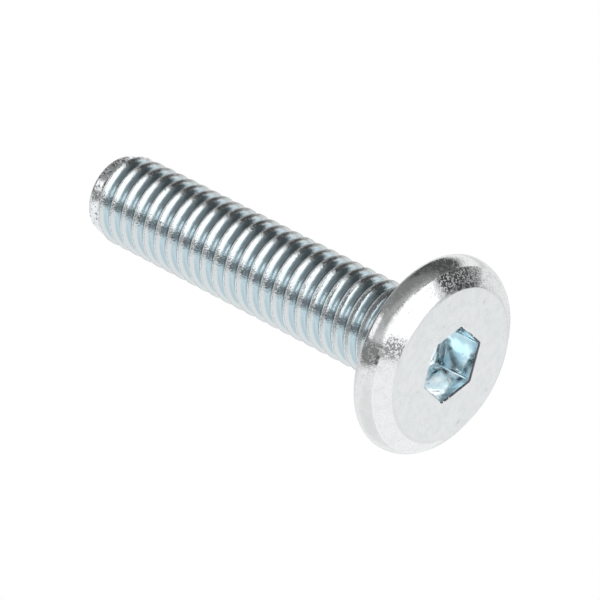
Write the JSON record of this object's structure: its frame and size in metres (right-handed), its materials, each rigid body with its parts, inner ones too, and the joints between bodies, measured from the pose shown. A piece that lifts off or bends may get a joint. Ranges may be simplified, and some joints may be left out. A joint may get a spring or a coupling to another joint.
{
  "type": "mounting screw",
  "caption": "Zinc-plated steel machine screw with a wide, low, bevelled flat head, a hex socket and a metric thread along its whole shank.",
  "frame": {"origin": "centre of the head's flat outer face, on the screw's axis", "axes": "+Z along the screw's axis from the head to the tip, +X towards one corner of the hex socket"},
  "size_m": [0.0122, 0.0122, 0.0281],
  "materials": {
    "zinc_plated_steel": "bright blue-white zinc plating, satin on the head and glossy on the thread"
  },
  "bodies": {
    "root": {"screw": "zinc_plated_steel"}
  },
  "joints": []
}
